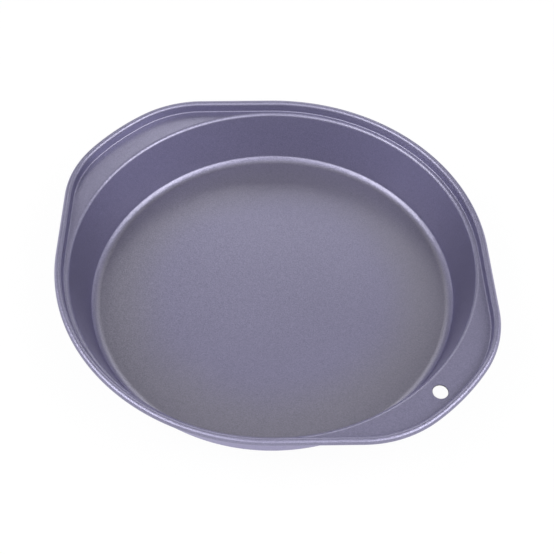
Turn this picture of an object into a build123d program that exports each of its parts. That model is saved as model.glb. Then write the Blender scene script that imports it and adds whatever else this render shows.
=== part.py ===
from build123d import *
import math
import os

# Round cake tin, deep drawn from one steel sheet. The wall ends in a narrow ledge that
# widens into two wing handles, and the sheet's edge stands up all round and is rolled
# over a steel wire. Lengths are in millimetres and angles in degrees.
# The origin is the centre of the base's underside. +Z is up, and +X runs through the
# handle that has the hang hole.

# Bowl, measured on its inner face
sheet_thickness = 0.6
base_radius = 105.2
wall_top_radius = 114.0
bowl_depth = 31.9
base_bend_radius = 7.0
base_bend_turn = 45.0
wall_foot_radius = 1.8
wall_edge_radius = 2.4

# Riser and rolled edge
foot_radius = 0.85
bead_rise = 4.35
bead_radius = 2.05
curl_gap = 0.3
wire_clearance = 0.05

# Handles, as the rim's outline leaves its round stretch
handle_projection = 14.45
handle_corner_radius = 60.0
handle_tip_half_angle = 8.5

# Hang hole, halfway across its handle's flat and a little to one side of the handle's middle
hang_hole_diameter = 8.0
hang_hole_offset = 3.7

# The sheet's small bends are drawn as short flats with their corners on the bend's arc,
# and no flat lies further inside its arc than this
bend_sag = 0.08

# Heights
ledge_height = sheet_thickness + bowl_depth
bead_height = ledge_height + bead_rise

# Wall: how far it turns up from the base, first in a wide bend and then in a tight one
wall_turn = math.degrees(math.atan2(bowl_depth, wall_top_radius - base_radius))
wall_foot_turn = wall_turn - base_bend_turn
wall_cosine = math.cos(math.radians(wall_turn))
wall_sine = math.sin(math.radians(wall_turn))
bend_cosine = math.cos(math.radians(base_bend_turn))
bend_sine = math.sin(math.radians(base_bend_turn))
corner_run = base_bend_radius * bend_sine + wall_foot_radius * (wall_sine - bend_sine)
corner_rise = base_bend_radius * (1 - bend_cosine) + wall_foot_radius * (bend_cosine - wall_cosine)

# What the bends leave flat of the base and straight of the wall
edge_run_share = math.tan(math.radians(wall_turn) / 2)
base_edge = base_radius + corner_rise * wall_cosine / wall_sine - corner_run
wall_straight = (bowl_depth - corner_rise) / wall_sine - wall_edge_radius * edge_run_share

# Radii of the round stretch, where the wall's top edge bends straight into the riser's foot
ledge_radius = wall_top_radius + wall_edge_radius * edge_run_share
foot_run = foot_radius + bead_radius
rim_radius = ledge_radius + foot_run

# Handle outline: an outer arc about the tin's axis, then corner arcs that run into
# straight flanks, which are tangent to the round stretch
handle_reach = rim_radius + handle_projection
corner_distance = handle_reach - handle_corner_radius
corner_turn = math.degrees(math.acos((rim_radius - handle_corner_radius) / corner_distance))
flank_angle = handle_tip_half_angle + corner_turn
hang_hole_reach = ledge_radius + handle_projection / 2

# Curl, which turns on past the bead's bottom until the gap is left before the riser, and
# the wire that its flats leave room for
curl_inner_radius = bead_radius - sheet_thickness
curl_turn = 270 + math.degrees(math.asin((curl_inner_radius - curl_gap) / bead_radius))
wire_radius = curl_inner_radius - bend_sag - wire_clearance


def polar_point(radius, angle):
    """Point at a radius and an angle about the tin's axis."""
    return (radius * math.cos(math.radians(angle)), radius * math.sin(math.radians(angle)))


def rim_outline(inset):
    """Closed outline of the rim in the XY plane, moved inwards by the inset from the bead's middle."""
    axis = (0, 0)
    round_radius = rim_radius - inset
    tip_radius = handle_reach - inset
    corner_radius = handle_corner_radius - inset
    with BuildLine() as outline:
        for start in (0, 180):
            end = start + 180
            first_centre = polar_point(corner_distance, start + handle_tip_half_angle)
            last_centre = polar_point(corner_distance, end - handle_tip_half_angle)
            CenterArc(axis, tip_radius, start, handle_tip_half_angle)
            first_corner = CenterArc(first_centre, corner_radius, start + handle_tip_half_angle, corner_turn)
            side = CenterArc(axis, round_radius, start + flank_angle, 180 - 2 * flank_angle)
            last_corner = CenterArc(last_centre, corner_radius, end - flank_angle, corner_turn)
            Line(first_corner @ 1, side @ 0)
            Line(side @ 1, last_corner @ 0)
            CenterArc(axis, tip_radius, end - handle_tip_half_angle, handle_tip_half_angle)
    return outline.wire()


def flat_count(radius, turn):
    """Number of flats for a bend, so that none lies further inside its arc than the sag."""
    flat_turn = 2 * math.degrees(math.acos(1 - bend_sag / radius))
    return math.ceil(turn / flat_turn)


def draw_section(section):
    """Draws a section into the line being built, with flats for its arcs."""
    for edge in section.edges():
        count = 1
        if edge.geom_type == GeomType.CIRCLE:
            count = flat_count(edge.radius, math.degrees(edge.length / edge.radius))
        Polyline(*[edge @ (step / count) for step in range(count + 1)])


bead_path = rim_outline(0)
flat_outline = rim_outline(foot_run)

# Section of the base, the wall and the wall's rounded top edge. Its inner face is drawn
# from the axis outwards, and the sheet's thickness lies outside it.
with BuildLine() as bowl_section:
    base = Line((0, sheet_thickness), (base_edge, sheet_thickness))
    bend = JernArc(base @ 1, base % 1, base_bend_radius, base_bend_turn)
    wall_foot = JernArc(bend @ 1, bend % 1, wall_foot_radius, wall_foot_turn)
    wall = Line(wall_foot @ 1, wall_foot @ 1 + (wall_foot % 1) * wall_straight)
    JernArc(wall @ 1, wall % 1, wall_edge_radius, -wall_turn)
    offset(amount=sheet_thickness, side=Side.RIGHT)

# Section of the foot, the riser and the curl, where the rim crosses +X. The strip's face
# towards the bowl is drawn first, and its other face one sheet thickness behind it.
with BuildLine() as rim_section:
    foot_centre = (handle_reach - foot_run, ledge_height + foot_radius)
    bead_centre = (handle_reach, bead_height)
    starts = []
    ends = []
    for depth in (0, sheet_thickness):
        foot = CenterArc(foot_centre, foot_radius + depth, -90, 90)
        curl = CenterArc(bead_centre, bead_radius - depth, 180, -curl_turn)
        Line(foot @ 1, curl @ 0)
        starts.append(foot @ 0)
        ends.append(curl @ 1)
    Line(*starts)
    Line(*ends)

# Tin body
with BuildPart() as tin_body:
    # Bowl
    with BuildSketch(Plane.XZ):
        with BuildLine():
            draw_section(bowl_section)
        make_face()
    revolve(axis=Axis.Z)

    # Flat of each handle, between the bowl's edge and the riser's foot
    with BuildSketch(Plane.XY.offset(ledge_height)):
        make_face(flat_outline.edges())
        Circle(ledge_radius, mode=Mode.SUBTRACT)
    extrude(amount=-sheet_thickness)

    # Riser and rolled edge, one strip of sheet carried round the outline
    with BuildSketch(Plane.XZ):
        with BuildLine():
            draw_section(rim_section)
        make_face()
    sweep(path=bead_path)

    # Hang hole
    with Locations((hang_hole_reach, -hang_hole_offset, ledge_height)):
        Hole(hang_hole_diameter / 2, depth=sheet_thickness)

tin_body.part.label = "tin_body"

# Steel wire inside the rolled edge
with BuildPart() as rim_wire:
    with BuildSketch(Plane.XZ):
        with Locations((handle_reach, bead_height)):
            RegularPolygon(wire_radius, flat_count(wire_radius, 360))
    sweep(path=bead_path)

rim_wire.part.label = "rim_wire"

os.makedirs("parts", exist_ok=True)
export_step(tin_body.part, "parts/tin_body.step")
export_step(rim_wire.part, "parts/rim_wire.step")
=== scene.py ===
import math

import bpy
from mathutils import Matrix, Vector


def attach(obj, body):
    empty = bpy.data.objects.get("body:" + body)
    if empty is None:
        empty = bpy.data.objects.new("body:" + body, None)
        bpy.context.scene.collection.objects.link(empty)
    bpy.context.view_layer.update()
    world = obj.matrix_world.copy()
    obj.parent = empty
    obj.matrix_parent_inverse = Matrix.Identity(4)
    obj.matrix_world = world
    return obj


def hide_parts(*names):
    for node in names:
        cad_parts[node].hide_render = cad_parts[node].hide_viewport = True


# Round cake tin, dressed for the render. The sheet is rebuilt as one fine mesh round the
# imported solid, with true bends where the solid has short flats, and gets its coating.
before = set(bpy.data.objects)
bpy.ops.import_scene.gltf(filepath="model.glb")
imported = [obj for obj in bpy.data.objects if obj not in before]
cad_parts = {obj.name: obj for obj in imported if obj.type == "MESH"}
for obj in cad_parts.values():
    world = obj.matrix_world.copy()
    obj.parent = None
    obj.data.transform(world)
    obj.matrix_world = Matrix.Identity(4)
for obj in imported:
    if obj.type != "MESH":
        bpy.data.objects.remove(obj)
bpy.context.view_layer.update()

MM = 0.001

# ---- Sizes in millimetres and degrees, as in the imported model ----
# Two differ from it. The rolled edge is 0.02 mm smaller in radius, so that its true arc stays
# inside the box of the solid's flats, and the hang hole's sharp edges are rounded.
SHEET = 0.6
BASE_RADIUS = 105.2
WALL_TOP_RADIUS = 114.0
BOWL_DEPTH = 31.9
BASE_BEND_RADIUS = 7.0
BASE_BEND_TURN = 45.0
WALL_FOOT_RADIUS = 1.8
WALL_EDGE_RADIUS = 2.4
FOOT_RADIUS = 0.85
BEAD_RISE = 4.35
BEAD_RADIUS = 2.03
CURL_GAP = 0.3
WIRE_RADIUS = 1.32
HANDLE_PROJECTION = 14.45
HANDLE_CORNER_RADIUS = 60.0
TIP_HALF_ANGLE = 8.5
HOLE_RADIUS = 4.0
HOLE_OFFSET = 3.7
HOLE_EDGE_RADIUS = 0.12

LEDGE_HEIGHT = SHEET + BOWL_DEPTH
BEAD_HEIGHT = LEDGE_HEIGHT + BEAD_RISE
WALL_TURN = math.degrees(math.atan2(BOWL_DEPTH, WALL_TOP_RADIUS - BASE_RADIUS))
EDGE_RUN_SHARE = math.tan(math.radians(WALL_TURN) / 2)
LEDGE_RADIUS = WALL_TOP_RADIUS + WALL_EDGE_RADIUS * EDGE_RUN_SHARE
FOOT_RUN = FOOT_RADIUS + BEAD_RADIUS
RIM_RADIUS = LEDGE_RADIUS + FOOT_RUN
HANDLE_REACH = RIM_RADIUS + HANDLE_PROJECTION
CORNER_DISTANCE = HANDLE_REACH - HANDLE_CORNER_RADIUS
CORNER_TURN = math.degrees(math.acos((RIM_RADIUS - HANDLE_CORNER_RADIUS) / CORNER_DISTANCE))
FLANK_ANGLE = TIP_HALF_ANGLE + CORNER_TURN
HOLE_REACH = LEDGE_RADIUS + HANDLE_PROJECTION / 2
CURL_INNER_RADIUS = BEAD_RADIUS - SHEET
CURL_TURN = 270 + math.degrees(math.asin((CURL_INNER_RADIUS - CURL_GAP) / BEAD_RADIUS))

# ---- Mesh fineness ----
# Rings on the base's flat by their radius, and steps along each part of the sections
BASE_RINGS = (15, 45, 75)
BASE_BEND_STEPS = 7
WALL_FOOT_STEPS = 9
WALL_STEPS = 8
WALL_EDGE_STEPS = 8
FOOT_STEPS = 7
RISER_STEPS = 3
CURL_STEPS = 44
CURL_TIP_STEPS = 6
CURL_INNER_STEPS = 20
HOLE_EDGE_STEPS = 3
WIRE_STEPS = 18

# Steps along a quarter of the outline
TIP_STEPS = 8
CORNER_STEPS = 18
FLANK_STEPS = 22
SIDE_STEPS = 44

# Strips across a handle's flat. The hang hole takes these strips of its handle, over these
# steps of the outline from +X, and a patch with the hole's own points fills the opening.
FLAT_STRIPS = 6
HOLE_STRIPS = range(1, 5)
HOLE_COLUMNS = range(-4, 1)
HOLE_POINTS_PER_EDGE = 3

# Width up to which the outline counts as the bowl's own edge, with no flat between them
NO_FLAT = 1e-4


def turned(angle):
    """Unit vector at an angle in degrees."""
    return Vector((math.cos(math.radians(angle)), math.sin(math.radians(angle))))


# ---- Sections, as lists of points with their normals ----
def arc(centre, radius, start, end, steps, side):
    """Stretch of a section along an arc, with its end points.

    Side 1 turns the normals away from the arc's centre, and side -1 towards it.
    """
    points = []
    for step in range(steps + 1):
        direction = turned(start + (end - start) * step / steps)
        points.append((Vector(centre) + radius * direction, side * direction))
    return points


def between(first, last, steps):
    """Stretch of a section on the straight run between two of its points, without these two."""
    points = []
    for step in range(1, steps):
        points.append((first[0].lerp(last[0], step / steps), first[1]))
    return points


def base_edge_radius():
    """Where the base's flat ends, so that its two bends run into the wall."""
    wall = turned(WALL_TURN)
    bend = turned(BASE_BEND_TURN)
    run = BASE_BEND_RADIUS * bend.y + WALL_FOOT_RADIUS * (wall.y - bend.y)
    rise = BASE_BEND_RADIUS * (1 - bend.x) + WALL_FOOT_RADIUS * (bend.x - wall.x)
    return BASE_RADIUS + rise * wall.x / wall.y - run


def bowl_face(depth, side):
    """Base, wall and the wall's rounded edge, from the axis outwards.

    The depth is the distance below the sheet's inner face, and side 1 turns the normals to the
    inside of the bowl.
    """
    base_normal = side * Vector((0, 1))
    rings = [(Vector((radius, SHEET - depth)), base_normal) for radius in BASE_RINGS]
    bend_end = BASE_BEND_TURN - 90
    bend_centre = Vector((base_edge_radius(), SHEET + BASE_BEND_RADIUS))
    bend = arc(bend_centre, BASE_BEND_RADIUS + depth, -90, bend_end, BASE_BEND_STEPS, -side)
    foot_centre = bend_centre + (BASE_BEND_RADIUS - WALL_FOOT_RADIUS) * turned(bend_end)
    foot_radius = WALL_FOOT_RADIUS + depth
    foot = arc(foot_centre, foot_radius, bend_end, WALL_TURN - 90, WALL_FOOT_STEPS, -side)
    edge_centre = (LEDGE_RADIUS, LEDGE_HEIGHT - WALL_EDGE_RADIUS)
    edge_radius = WALL_EDGE_RADIUS - depth
    edge = arc(edge_centre, edge_radius, WALL_TURN + 90, 90, WALL_EDGE_STEPS, side)
    return rings + bend + foot[1:] + between(foot[-1], edge[0], WALL_STEPS) + edge


def rim_section():
    """Foot, riser and curl on the bowl's side, round the sheet's cut edge, and back.

    Distances are measured outwards from the end of the flat.
    """
    foot_centre = (0, LEDGE_HEIGHT + FOOT_RADIUS)
    bead_centre = Vector((FOOT_RUN, BEAD_HEIGHT))
    half_sheet = SHEET / 2
    tip_distance = BEAD_RADIUS - half_sheet
    curl_end = 180 - CURL_TURN + math.degrees(half_sheet / tip_distance)
    foot = arc(foot_centre, FOOT_RADIUS, -90, 0, FOOT_STEPS, -1)
    curl = arc(bead_centre, BEAD_RADIUS, 180, curl_end, CURL_STEPS, 1)
    tip_centre = bead_centre + tip_distance * turned(curl_end)
    tip = arc(tip_centre, half_sheet, curl_end, curl_end - 180, CURL_TIP_STEPS, 1)
    curl_back = arc(bead_centre, CURL_INNER_RADIUS, curl_end, 180, CURL_INNER_STEPS, -1)
    foot_back = arc(foot_centre, FOOT_RADIUS + SHEET, 0, -90, FOOT_STEPS, 1)
    riser = between(foot[-1], curl[0], RISER_STEPS)
    riser_back = between(curl_back[-1], foot_back[0], RISER_STEPS)
    return foot + riser + curl + tip[1:-1] + curl_back + riser_back + foot_back


# ---- Outline of the flat, which the rim follows ----
def quarter_outline():
    """Points of a quarter of the outline from the handle's middle, each with its way outwards."""
    points = []
    for step in range(TIP_STEPS):
        out = turned(TIP_HALF_ANGLE * step / TIP_STEPS)
        points.append(((HANDLE_REACH - FOOT_RUN) * out, out))
    corner_centre = CORNER_DISTANCE * turned(TIP_HALF_ANGLE)
    corner_radius = HANDLE_CORNER_RADIUS - FOOT_RUN
    for step in range(CORNER_STEPS):
        out = turned(TIP_HALF_ANGLE + CORNER_TURN * step / CORNER_STEPS)
        points.append((corner_centre + corner_radius * out, out))
    flank_out = turned(FLANK_ANGLE)
    flank_start = corner_centre + corner_radius * flank_out
    flank_end = LEDGE_RADIUS * flank_out
    for step in range(FLANK_STEPS):
        points.append((flank_start.lerp(flank_end, step / FLANK_STEPS), flank_out))
    for step in range(SIDE_STEPS + 1):
        out = turned(FLANK_ANGLE + (90 - FLANK_ANGLE) * step / SIDE_STEPS)
        points.append((LEDGE_RADIUS * out, out))
    return points


def whole_outline():
    """The outline's points once round, counter-clockwise from +X."""
    quarter = quarter_outline()
    mirror = Vector((-1, 1))
    half = quarter + [(point * mirror, out * mirror) for point, out in reversed(quarter[1:-1])]
    return half + [(-point, -out) for point, out in half]


class MeshLists:
    """Vertices with their normals, and faces, of a mesh that is being made."""

    def __init__(self):
        self.points = []
        self.normals = []
        self.faces = []

    def add(self, place, height, rise, lean=(0, 0)):
        """Adds a vertex at a place in plan and a height, with its normal's rise and lean."""
        self.points.append((place[0] * MM, place[1] * MM, height * MM))
        self.normals.append((lean[0], lean[1], rise))
        return len(self.points) - 1

    def add_section_point(self, start, out, section_point):
        """Adds a point of a section that is laid outwards from a start in plan."""
        at, normal = section_point
        return self.add(start + out * at.x, at.y, normal.y, out * normal.x)

    def add_section(self, start, out, section):
        return [self.add_section_point(start, out, section_point) for section_point in section]

    def face(self, *corners):
        """Adds a face, without corners that are the same as the one before."""
        kept = [corner for place, corner in enumerate(corners) if corner != corners[place - 1]]
        if len(kept) > 2:
            self.faces.append(kept)

    def skin(self, first, second):
        """Adds faces between two rows of the same length."""
        for place in range(len(first) - 1):
            self.face(first[place], first[place + 1], second[place + 1], second[place])

    def to_object(self, name):
        mesh = bpy.data.meshes.new(name)
        mesh.from_pydata(self.points, [], self.faces)
        mesh.polygons.foreach_set("use_smooth", [True] * len(mesh.polygons))
        mesh.normals_split_custom_set_from_vertices(self.normals)
        mesh.update()
        made = bpy.data.objects.new(name, mesh)
        bpy.context.scene.collection.objects.link(made)
        return made


# ---- Sheet ----
def flat_rows(lists, start, end, height, rise):
    """Vertices across a flat, without those on its two edges."""
    shares = [strip / FLAT_STRIPS for strip in range(1, FLAT_STRIPS)]
    return [lists.add(start.lerp(end, share), height, rise) for share in shares]


def sheet_columns(lists, inner, rim, outer):
    """Vertices of the sheet, in a column for each point of the outline.

    A column runs from the base's middle to the rim, round it and back below. Where there is no
    flat, the bowl's edge stands for each of the flat's rows, so all columns are equally long.
    """
    axis = Vector((0, 0))
    top_centre = lists.add(axis, SHEET, 1)
    bottom_centre = lists.add(axis, 0, -1)
    columns = []
    for point, out in whole_outline():
        away = point.normalized()
        ledge = LEDGE_RADIUS * away
        has_flat = (point - ledge).length > NO_FLAT
        inner_rows = lists.add_section(axis, away, inner)
        top_rows = [inner_rows[-1]] * (FLAT_STRIPS - 1)
        if has_flat:
            top_rows = flat_rows(lists, ledge, point, LEDGE_HEIGHT, 1)
        rim_rows = lists.add_section(point, out, rim)
        outer_rows = lists.add_section(axis, away, outer)
        under_rows = [outer_rows[0]] * (FLAT_STRIPS - 1)
        if has_flat:
            under_rows = flat_rows(lists, point, ledge, LEDGE_HEIGHT - SHEET, -1)
        else:
            rim_rows[0] = inner_rows[-1]
            rim_rows[-1] = outer_rows[0]
        upper = [top_centre] + inner_rows + top_rows
        lower = under_rows + outer_rows + [bottom_centre]
        columns.append(upper + rim_rows + lower)
    return columns


def skin_columns(lists, columns, top_rows, under_rows):
    """Faces between the columns, but none between the given rows at the hang hole."""
    count = len(columns)
    for place in range(count):
        first = columns[place]
        second = columns[(place + 1) % count]
        if place in HOLE_COLUMNS or place - count in HOLE_COLUMNS:
            inside_end = top_rows[0] + 1
            outside = slice(top_rows[-1], under_rows[-1] + 1)
            lists.skin(first[:inside_end], second[:inside_end])
            lists.skin(first[outside], second[outside])
            lists.skin(first[under_rows[0]:], second[under_rows[0]:])
        else:
            lists.skin(first, second)


def opening_border(columns, rows):
    """Vertices round the opening left for the hole, counter-clockwise as seen from above.

    The rows are given from the bowl outwards.
    """
    places = range(HOLE_COLUMNS[0], HOLE_COLUMNS[-1] + 2)
    border = [columns[place][rows[-1]] for place in places]
    border += [columns[places[-1]][row] for row in reversed(rows[1:-1])]
    border += [columns[place][rows[0]] for place in reversed(places)]
    border += [columns[places[0]][row] for row in rows[1:-1]]
    return border


def hole_angles(border_points, centre):
    """Angles of the hole's points, which face the border's and have even steps between them."""
    border_angles = []
    for point in border_points:
        offset = Vector(point[:2]) / MM - centre
        angle = math.degrees(math.atan2(offset.y, offset.x))
        while border_angles and angle < border_angles[-1]:
            angle += 360
        border_angles.append(angle)
    border_angles.append(border_angles[0] + 360)
    angles = []
    for first, last in zip(border_angles, border_angles[1:]):
        for step in range(HOLE_POINTS_PER_EDGE):
            angles.append(first + (last - first) * step / HOLE_POINTS_PER_EDGE)
    return angles


def fill_opening(lists, top_border, under_border):
    """The hang hole's wall and rounded edges, and the flat's two faces round it."""
    centre = Vector((HOLE_REACH, -HOLE_OFFSET))
    angles = hole_angles([lists.points[vertex] for vertex in top_border], centre)
    edge_centre = HOLE_RADIUS + HOLE_EDGE_RADIUS
    top_centre = (edge_centre, LEDGE_HEIGHT - HOLE_EDGE_RADIUS)
    under_centre = (edge_centre, LEDGE_HEIGHT - SHEET + HOLE_EDGE_RADIUS)
    top_edge = arc(top_centre, HOLE_EDGE_RADIUS, 90, 180, HOLE_EDGE_STEPS, 1)
    under_edge = arc(under_centre, HOLE_EDGE_RADIUS, 180, 270, HOLE_EDGE_STEPS, 1)
    rings = []
    for section_point in top_edge + under_edge:
        ring = [lists.add_section_point(centre, turned(angle), section_point) for angle in angles]
        rings.append(ring + ring[:1])
    for upper, lower in zip(rings, rings[1:]):
        lists.skin(lower, upper)
    for place in range(len(top_border)):
        following = (place + 1) % len(top_border)
        start = place * HOLE_POINTS_PER_EDGE
        end = start + HOLE_POINTS_PER_EDGE + 1
        lists.face(top_border[place], top_border[following], *reversed(rings[0][start:end]))
        lists.face(under_border[following], under_border[place], *rings[-1][start:end])


def make_sheet():
    """The whole sheet as one closed mesh, with the hang hole through one handle."""
    lists = MeshLists()
    inner = bowl_face(0, 1)
    rim = rim_section()
    outer = list(reversed(bowl_face(SHEET, -1)))
    columns = sheet_columns(lists, inner, rim, outer)

    # Rows at the edges of the hole's strips, on the flat's top and under it
    flat_start = len(inner)
    under_end = flat_start + FLAT_STRIPS + len(rim) - 1 + FLAT_STRIPS
    edges = range(HOLE_STRIPS[0], HOLE_STRIPS[-1] + 2)
    top_rows = [flat_start + edge for edge in edges]
    under_rows = [under_end - edge for edge in edges]

    skin_columns(lists, columns, top_rows, under_rows)
    top_border = opening_border(columns, top_rows)
    under_border = opening_border(columns, under_rows)
    fill_opening(lists, top_border, under_border)
    return lists.to_object("tin_sheet")


def make_wire():
    """The steel wire inside the rolled edge, as a round ring along the outline."""
    lists = MeshLists()
    section = arc((FOOT_RUN, BEAD_HEIGHT), WIRE_RADIUS, 0, -360, WIRE_STEPS, 1)[:-1]
    rows = []
    for point, out in whole_outline():
        row = lists.add_section(point, out, section)
        rows.append(row + row[:1])
    rows.append(rows[0])
    for first, second in zip(rows, rows[1:]):
        lists.skin(first, second)
    return lists.to_object("tin_wire")


# ---- Materials ----
class Nodes:
    """Makes and links the nodes of a node tree."""

    def __init__(self, tree):
        self.tree = tree
        tree.nodes.clear()

    def feed(self, socket, value):
        """Links a node's output to the socket, or sets the socket's own value."""
        if isinstance(value, bpy.types.NodeSocket):
            self.tree.links.new(value, socket)
        else:
            socket.default_value = value

    def make(self, kind, settings=None, **inputs):
        """A node with settings on itself and inputs, by socket name with _ for a space."""
        made = self.tree.nodes.new(kind)
        for name, value in (settings or {}).items():
            setattr(made, name, value)
        for name, value in inputs.items():
            self.feed(made.inputs[name.replace("_", " ")], value)
        return made

    def calculate(self, kind, operation, *values):
        """First result of a maths node with the values or links as its first inputs."""
        made = self.make(kind, {"operation": operation})
        for socket, value in zip(made.inputs, values):
            self.feed(socket, value)
        return made.outputs[0]

    def maths(self, operation, first, second):
        return self.calculate("ShaderNodeMath", operation, first, second)

    def vector_maths(self, operation, first, second):
        return self.calculate("ShaderNodeVectorMath", operation, first, second)

    def noise(self, place, scale, detail):
        made = self.make("ShaderNodeTexNoise", Vector=place, Scale=scale, Detail=detail)
        return made.outputs["Fac"]

    def ramp(self, value, low, high):
        """Carries 0..1 to low..high."""
        made = self.make("ShaderNodeMapRange", Value=value, To_Min=low, To_Max=high)
        return made.outputs["Result"]

    def fade(self, value, start, end, first=0.0, last=1.0):
        """First before the start and last past the end, smooth between them."""
        made = self.make(
            "ShaderNodeMapRange", {"interpolation_type": "SMOOTHSTEP"},
            Value=value, From_Min=start, From_Max=end, To_Min=first, To_Max=last
        )
        return made.outputs["Result"]

    def blend(self, share, first, second):
        """Mix of two colours."""
        made = self.make("ShaderNodeMix", {"data_type": "RGBA"})
        sockets = {socket.identifier: socket for socket in [*made.inputs, *made.outputs]}
        self.feed(sockets["Factor_Float"], share)
        self.feed(sockets["A_Color"], first)
        self.feed(sockets["B_Color"], second)
        return sockets["Result_Color"]


def new_material(name):
    material = bpy.data.materials.new(name)
    material.use_nodes = True
    return material, Nodes(material.node_tree)


WHITE = (1, 1, 1, 1)

# Coating's colours where its tone is darkest and lightest: most of the tin, the coat sprayed
# on from below, and a painted reflection: a greyer, less violet ring on the base's margin
# beside the wall, standing in for the duller light reflected there
COATING_DARK = (0.144, 0.136, 0.220, 1)
COATING_LIGHT = (0.264, 0.250, 0.386, 1)
COATING_OUTER_DARK = (0.104, 0.080, 0.240, 1)
COATING_OUTER_LIGHT = (0.154, 0.122, 0.346, 1)
COATING_MARGIN_REFLECTION_DARK = (0.148, 0.140, 0.186, 1)
COATING_MARGIN_REFLECTION_LIGHT = (0.268, 0.254, 0.331, 1)

# Starts and ends of fades: the outer coat's by the rise of the surface's normal, and the
# painted reflection's on the base's margin by radius and by height in metres. The last is the
# unevenness of its inner radius.
OUTER_STARTS = (-0.08, -0.22)
MARGIN_REFLECTION_STARTS = (0.068, 0.102)
MARGIN_REFLECTION_ENDS = (0.105, 0.101)
MARGIN_REFLECTION_ENDS_AT_HEIGHT = (0.004, 0.001)
MARGIN_REFLECTION_UNEVENNESS = 0.02

# What each pattern gives to the tone, and the broad one to the roughness
FLAKE_SHARE = 0.5
GRAIN_SHARE = 0.3
BROAD_SHARE = 0.2
BROAD_ROUGHNESS_SHARE = 0.5

# Flakes, and the clear film over them
COATING_METALLIC = 0.86
COATING_EDGE_TINT = (0.42, 0.38, 0.75, 1)
COATING_SMOOTHEST = 0.38
COATING_ROUGHEST = 0.48
FLAKE_TILT = 0.1
FILM_IOR = 1.75
FILM_ROUGHNESS = 0.32
PEEL_STRENGTH = 0.2

# Patterns' scales and details
FLAKE_SCALE = 2300
GRAIN_SCALE = 1150
PEEL_SCALE = 900
BROAD_SCALE = 14
FINE_DETAIL = 2.0
BROAD_DETAIL = 3.0

BUMP_HEIGHT = 0.02 * MM


def painted_margin_reflection(nodes, place, broad):
    """Mask of the painted reflection: 1 on the base's outer margin, fading unevenly towards its
    middle, and 0 elsewhere.
    """
    along = nodes.make("ShaderNodeSeparateXYZ", Vector=place).outputs
    plan_place = nodes.make("ShaderNodeCombineXYZ", X=along["X"], Y=along["Y"]).outputs["Vector"]
    length = nodes.make("ShaderNodeVectorMath", {"operation": "LENGTH"}, Vector=plan_place)
    reach = length.outputs["Value"]
    unevenness = nodes.maths("MULTIPLY", broad, MARGIN_REFLECTION_UNEVENNESS)
    starts = nodes.fade(nodes.maths("ADD", reach, unevenness), *MARGIN_REFLECTION_STARTS)
    ring = nodes.maths("MULTIPLY", starts, nodes.fade(reach, *MARGIN_REFLECTION_ENDS))
    return nodes.maths("MULTIPLY", ring, nodes.fade(along["Z"], *MARGIN_REFLECTION_ENDS_AT_HEIGHT))


def coating_material():
    """Grey-violet non-stick coating: metallic flakes under a satin film with faint orange peel."""
    material, nodes = new_material("coating")
    place = nodes.make("ShaderNodeTexCoord").outputs["Object"]
    flakes = nodes.make("ShaderNodeTexVoronoi", Vector=place, Scale=FLAKE_SCALE).outputs["Color"]
    flake_parts = nodes.make("ShaderNodeSeparateColor", Color=flakes).outputs
    grain = nodes.noise(place, GRAIN_SCALE, FINE_DETAIL)
    broad = nodes.noise(place, BROAD_SCALE, BROAD_DETAIL)
    peel = nodes.noise(place, PEEL_SCALE, FINE_DETAIL)

    flake_share = nodes.maths("MULTIPLY", flake_parts["Red"], FLAKE_SHARE)
    grain_share = nodes.maths("MULTIPLY", grain, GRAIN_SHARE)
    broad_share = nodes.maths("MULTIPLY", broad, BROAD_SHARE)
    tone = nodes.maths("ADD", nodes.maths("ADD", flake_share, grain_share), broad_share)
    violet = nodes.blend(tone, COATING_DARK, COATING_LIGHT)
    # Painted reflection: a greyer colour for the base's margin beside the wall, for the duller
    # light reflected there
    margin_reflection_colour = nodes.blend(tone, COATING_MARGIN_REFLECTION_DARK, COATING_MARGIN_REFLECTION_LIGHT)
    outer = nodes.blend(tone, COATING_OUTER_DARK, COATING_OUTER_LIGHT)

    # The outer coat lies where the surface faces down
    normal = nodes.make("ShaderNodeNewGeometry").outputs["Normal"]
    normal_rise = nodes.make("ShaderNodeSeparateXYZ", Vector=normal).outputs["Z"]
    facing_down = nodes.fade(normal_rise, *OUTER_STARTS)
    # Painted reflection: the base's margin takes the greyer colour in place of the violet one
    inner = nodes.blend(painted_margin_reflection(nodes, place, broad), violet, margin_reflection_colour)
    colour = nodes.blend(facing_down, inner, outer)

    broad_roughness = nodes.maths("MULTIPLY", broad, BROAD_ROUGHNESS_SHARE)
    unevenness = nodes.maths("ADD", broad_roughness, flake_parts["Green"])
    roughness = nodes.ramp(unevenness, COATING_SMOOTHEST, COATING_ROUGHEST)

    # Each flake leans its own way
    lean = nodes.vector_maths("SUBTRACT", flakes, (0.5, 0.5, 0.5))
    lean = nodes.vector_maths("MULTIPLY", lean, (FLAKE_TILT, FLAKE_TILT, FLAKE_TILT))
    leaning = nodes.vector_maths("ADD", normal, lean)
    bump = nodes.make(
        "ShaderNodeBump", Strength=PEEL_STRENGTH, Distance=BUMP_HEIGHT, Height=peel, Normal=leaning
    ).outputs["Normal"]

    shader = nodes.make(
        "ShaderNodeBsdfPrincipled", Base_Color=colour, Metallic=COATING_METALLIC,
        Roughness=roughness, Specular_Tint=COATING_EDGE_TINT, Normal=bump,
        Coat_Weight=1.0, Coat_IOR=FILM_IOR, Coat_Roughness=FILM_ROUGHNESS, Coat_Normal=bump
    )
    nodes.make("ShaderNodeOutputMaterial", Surface=shader.outputs["BSDF"])
    return material


WIRE_STREAK_SCALE = 600
WIRE_STREAK_STRENGTH = 0.3
WIRE_DARK = (0.42, 0.42, 0.42, 1)
WIRE_LIGHT = (0.58, 0.58, 0.58, 1)
WIRE_SMOOTHEST = 0.28
WIRE_ROUGHEST = 0.45


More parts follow.
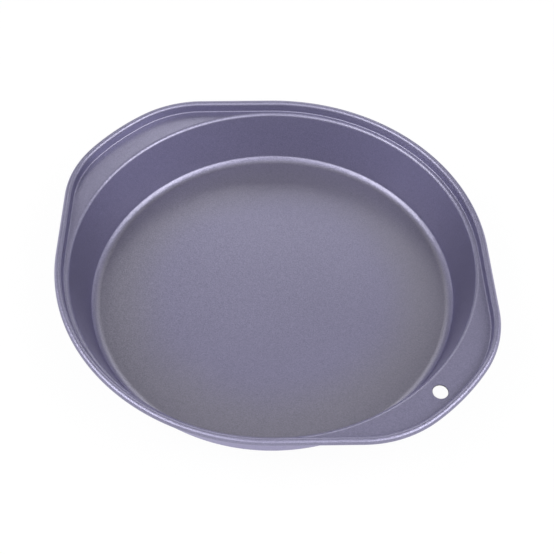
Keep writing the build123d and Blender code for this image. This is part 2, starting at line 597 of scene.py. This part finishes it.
def wire_material():
    """Plain drawn steel wire, a little streaked."""
    material, nodes = new_material("wire_steel")
    place = nodes.make("ShaderNodeTexCoord").outputs["Object"]
    streaks = nodes.noise(place, WIRE_STREAK_SCALE, BROAD_DETAIL)
    colour = nodes.blend(streaks, WIRE_DARK, WIRE_LIGHT)
    roughness = nodes.ramp(streaks, WIRE_SMOOTHEST, WIRE_ROUGHEST)
    bump = nodes.make(
        "ShaderNodeBump", Strength=WIRE_STREAK_STRENGTH, Distance=BUMP_HEIGHT, Height=streaks
    ).outputs["Normal"]
    shader = nodes.make(
        "ShaderNodeBsdfPrincipled", Base_Color=colour, Metallic=1.0, Roughness=roughness,
        Normal=bump
    )
    nodes.make("ShaderNodeOutputMaterial", Surface=shader.outputs["BSDF"])
    return material


FLOOR_COLOUR = (0.8, 0.8, 0.8, 1)
FLOOR_WHITE_SHARE = 0.95


def seen_or_mirrored(nodes):
    """1 for rays from the camera and for mirrored and refracted rays, else 0."""
    path = nodes.make("ShaderNodeLightPath").outputs
    seen = nodes.maths("MAXIMUM", path["Is Camera Ray"], path["Is Glossy Ray"])
    return nodes.maths("MAXIMUM", seen, path["Is Transmission Ray"])


def floor_material():
    """Pale floor that looks white and keeps a soft shadow."""
    material, nodes = new_material("floor")
    matt = nodes.make("ShaderNodeBsdfDiffuse", Color=FLOOR_COLOUR)
    glow = nodes.make("ShaderNodeEmission", Color=WHITE, Strength=1.0)
    share = nodes.maths("MULTIPLY", seen_or_mirrored(nodes), FLOOR_WHITE_SHARE)
    mixed = nodes.make("ShaderNodeMixShader", Fac=share)
    nodes.feed(mixed.inputs[1], matt.outputs["BSDF"])
    nodes.feed(mixed.inputs[2], glow.outputs["Emission"])
    nodes.make("ShaderNodeOutputMaterial", Surface=mixed.outputs["Shader"])
    return material


# ---- Stage, in metres ----
FLOOR_HALF_WIDTH = 4.0
CAMERA_PLACE = (0.2349, -0.2383, 0.4570)
CAMERA_TARGET = (0.01267, -0.00916, 0.0325)
CAMERA_CLIP_START = 0.01

# The fitted camera's focal length is in the photograph's pixels
IMAGE_PIXELS = 554
FOCAL_PIXELS = 959.46
SENSOR_WIDTH_MM = 36.0

# Bearing of the view direction from +X, in degrees
VIEW_X = CAMERA_TARGET[0] - CAMERA_PLACE[0]
VIEW_Y = CAMERA_TARGET[1] - CAMERA_PLACE[1]
VIEW_BEARING = math.degrees(math.atan2(VIEW_Y, VIEW_X))

# Name, bearing to the left of the view direction and elevation in degrees, width and length
# in metres, and power in watts
LAMPS = (
    ("left_softbox", 96, 46, 1.0, 0.9, 12.1),
    ("left_front_softbox", 140, 46, 1.0, 0.9, 6.8),
    ("front_softbox", 180, 33, 0.9, 0.7, 2.4),
    ("right_front_softbox", -140, 44, 1.0, 0.9, 8.5),
    ("right_softbox", -98, 45, 1.0, 0.9, 12.1),
    ("back_softbox", 0, 34, 0.9, 0.7, 3.7),
    ("back_left_softbox", 58, 16, 0.6, 0.4, 1.0),
    ("back_right_softbox", -58, 16, 0.6, 0.4, 1.0),
    ("top_softbox", 180, 85, 0.8, 0.8, 1.3),
)
LAMP_DISTANCE = 1.6

# Surroundings: rise of the direction where they start and stop fading, and their strength
# at the horizon and overhead
SKY_FADE_START = 0.03
SKY_FADE_END = 0.25
SKY_HORIZON = 1.0
SKY_TOP = 0.32


def aim(obj, place, target):
    obj.location = place
    view = Vector(target) - Vector(place)
    obj.rotation_euler = view.to_track_quat("-Z", "Y").to_euler()


def make_camera():
    data = bpy.data.cameras.new("camera")
    data.sensor_width = SENSOR_WIDTH_MM
    data.lens = FOCAL_PIXELS * SENSOR_WIDTH_MM / IMAGE_PIXELS
    data.clip_start = CAMERA_CLIP_START
    camera = bpy.data.objects.new("camera", data)
    bpy.context.scene.collection.objects.link(camera)
    aim(camera, CAMERA_PLACE, CAMERA_TARGET)
    bpy.context.scene.camera = camera


def make_floor():
    lists = MeshLists()
    sides = ((-1, -1), (1, -1), (1, 1), (-1, 1))
    reach = FLOOR_HALF_WIDTH / MM
    lists.face(*[lists.add(Vector(side) * reach, 0, 1) for side in sides])
    floor = lists.to_object("floor")
    floor.data.materials.append(floor_material())


def make_lamps():
    target = Vector((0, 0, LEDGE_HEIGHT * MM))
    for name, bearing, elevation, width, length, power in LAMPS:
        data = bpy.data.lights.new(name, "AREA")
        data.shape = "RECTANGLE"
        data.size = width
        data.size_y = length
        data.energy = power
        lamp = bpy.data.objects.new(name, data)
        lamp.visible_camera = False
        bpy.context.scene.collection.objects.link(lamp)
        level = turned(VIEW_BEARING + bearing) * math.cos(math.radians(elevation))
        away = Vector((level.x, level.y, math.sin(math.radians(elevation))))
        aim(lamp, target + LAMP_DISTANCE * away, target)


def make_world():
    """Soft surroundings, white at the horizon and dimmer overhead."""
    world = bpy.data.worlds.new("studio")
    bpy.context.scene.world = world
    world.use_nodes = True
    nodes = Nodes(world.node_tree)
    direction = nodes.make("ShaderNodeTexCoord").outputs["Generated"]
    rise = nodes.make("ShaderNodeSeparateXYZ", Vector=direction).outputs["Z"]
    strength = nodes.fade(rise, SKY_FADE_START, SKY_FADE_END, SKY_HORIZON, SKY_TOP)
    background = nodes.make("ShaderNodeBackground", Color=WHITE, Strength=strength)
    nodes.make("ShaderNodeOutputWorld", Surface=background.outputs["Background"])


sheet = make_sheet()
sheet.data.materials.append(coating_material())
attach(sheet, "root")
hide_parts("tin_body")

wire = make_wire()
wire.data.materials.append(wire_material())
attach(wire, "root")
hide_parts("rim_wire")

make_camera()
make_floor()
make_lamps()
make_world()

scene = bpy.context.scene
scene.view_settings.view_transform = "Standard"
